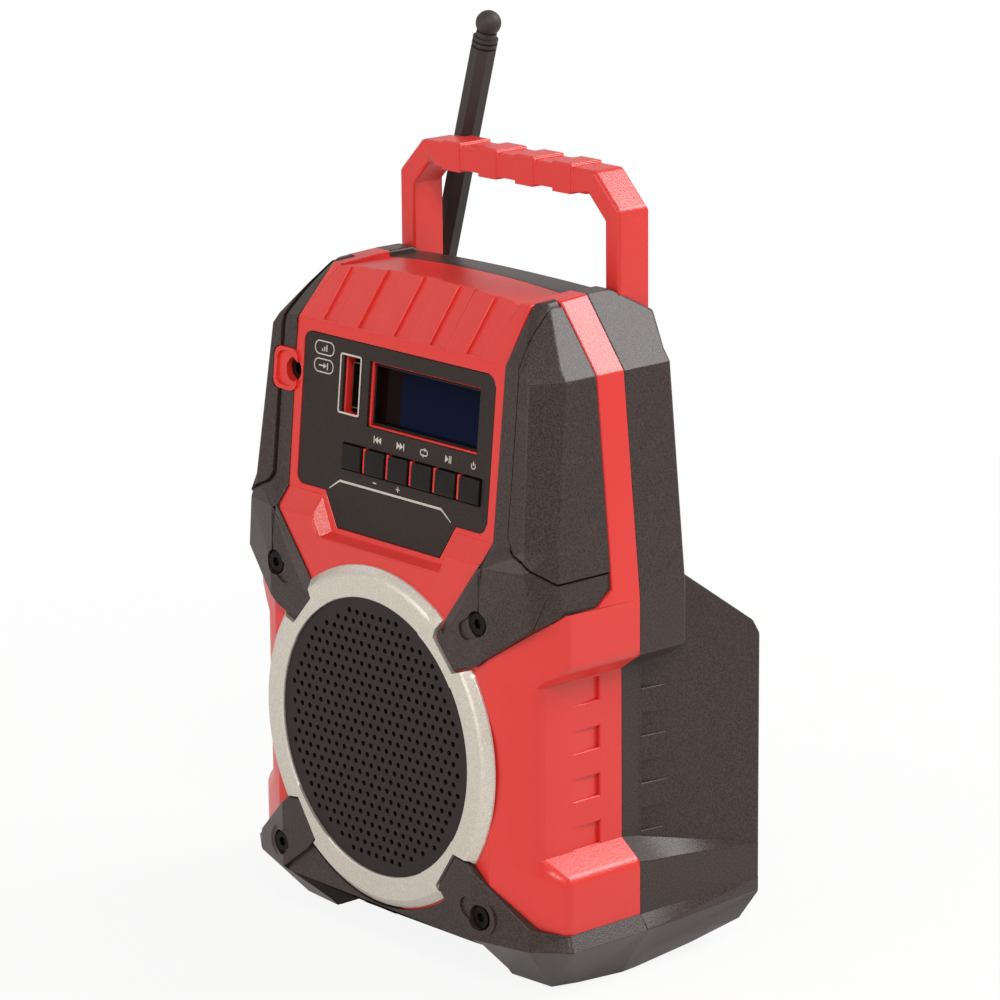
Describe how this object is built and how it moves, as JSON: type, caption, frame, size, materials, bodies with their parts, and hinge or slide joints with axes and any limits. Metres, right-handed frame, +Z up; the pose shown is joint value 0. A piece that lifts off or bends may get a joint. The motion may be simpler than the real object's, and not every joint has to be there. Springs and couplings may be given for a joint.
{
  "type": "job-site radio",
  "caption": "Upright job-site radio with a round speaker grille, a display and key panel, corner guards, a carrying handle, a folding aerial and a slide-in battery pack.",
  "frame": {"origin": "on the ground, under the middle of the whole part's box", "axes": "+Z up, -Y out of the speaker's front, +X to the right seen from the front"},
  "size_m": [0.139, 0.0914, 0.261],
  "materials": {
    "red_plastic": "satin",
    "grey_plastic": "fine texture",
    "panel_plastic": "fine texture",
    "silver_trim": "satin",
    "grille_metal": "satin",
    "rubber": "matt",
    "cone_paper": "matt",
    "magnet": "matt",
    "steel": "satin",
    "display_glass": "polished",
    "display_body": "matt",
    "key_plastic": "semi-gloss",
    "circuit_board": "satin",
    "brass": "satin"
  },
  "bodies": {
    "cabinet": {"front_housing": "red_plastic", "rear_housing": "grey_plastic", "side_guard_left": "grey_plastic", "side_guard_right": "grey_plastic", "bottom_bumper": "grey_plastic", "guard_screws": "steel", "speaker_ring": "silver_trim", "speaker_grille": "grille_metal", "speaker_gasket": "rubber", "driver_basket": "steel", "driver_surround": "rubber", "driver_cone": "cone_paper", "dust_cap": "cone_paper", "driver_magnet": "magnet", "driver_screws": "steel", "control_panel": "panel_plastic", "display_lens": "display_glass", "display_module": "display_body", "usb_socket": "steel", "aux_socket": "key_plastic", "control_board": "circuit_board", "key_switches": "display_body", "main_board": "circuit_board", "board_parts": "display_body", "board_screws": "steel", "handle": "red_plastic", "handle_screws": "steel", "antenna_mount": "panel_plastic", "antenna_pin": "steel", "terminal_block": "panel_plastic", "terminal_blades": "brass", "housing_screws": "steel"},
    "key_mode": {"button_mode": "key_plastic"},
    "key_previous": {"button_previous": "key_plastic"},
    "key_next": {"button_next": "key_plastic"},
    "key_repeat": {"button_repeat": "key_plastic"},
    "key_play": {"button_play": "key_plastic"},
    "key_power": {"button_power": "key_plastic"},
    "aerial": {"antenna_mast": "rubber"},
    "battery": {"battery_pack": "panel_plastic"},
    "release": {"battery_release": "red_plastic"}
  },
  "joints": [
    {"name": "mode_press", "type": "slide", "parent": "cabinet", "child": "key_mode", "axis": [0, 0.9952, -0.0976], "range_m": [0, 0.0006], "stiffness_N_per_m": 300},
    {"name": "previous_press", "type": "slide", "parent": "cabinet", "child": "key_previous", "axis": [0, 0.9952, -0.0976], "range_m": [0, 0.0006], "stiffness_N_per_m": 300},
    {"name": "next_press", "type": "slide", "parent": "cabinet", "child": "key_next", "axis": [0, 0.9952, -0.0976], "range_m": [0, 0.0006], "stiffness_N_per_m": 300},
    {"name": "repeat_press", "type": "slide", "parent": "cabinet", "child": "key_repeat", "axis": [0, 0.9952, -0.0976], "range_m": [0, 0.0006], "stiffness_N_per_m": 300},
    {"name": "play_press", "type": "slide", "parent": "cabinet", "child": "key_play", "axis": [0, 0.9952, -0.0976], "range_m": [0, 0.0006], "stiffness_N_per_m": 300},
    {"name": "power_press", "type": "slide", "parent": "cabinet", "child": "key_power", "axis": [0, 0.9952, -0.0976], "range_m": [0, 0.0006], "stiffness_N_per_m": 300},
    {"name": "aerial_swing", "type": "hinge", "parent": "cabinet", "child": "aerial", "pos_m": [-0.0532, 0.02395, 0.168], "axis": [0, 1, 0], "range_deg": [-15, 75]},
    {"name": "battery_slide", "type": "slide", "parent": "cabinet", "child": "battery", "axis": [0, 0, 1], "range_m": [0, 0.062]},
    {"name": "release_press", "type": "slide", "parent": "battery", "child": "release", "axis": [0, -1, 0], "range_m": [0, 0.0025], "stiffness_N_per_m": 200}
  ]
}
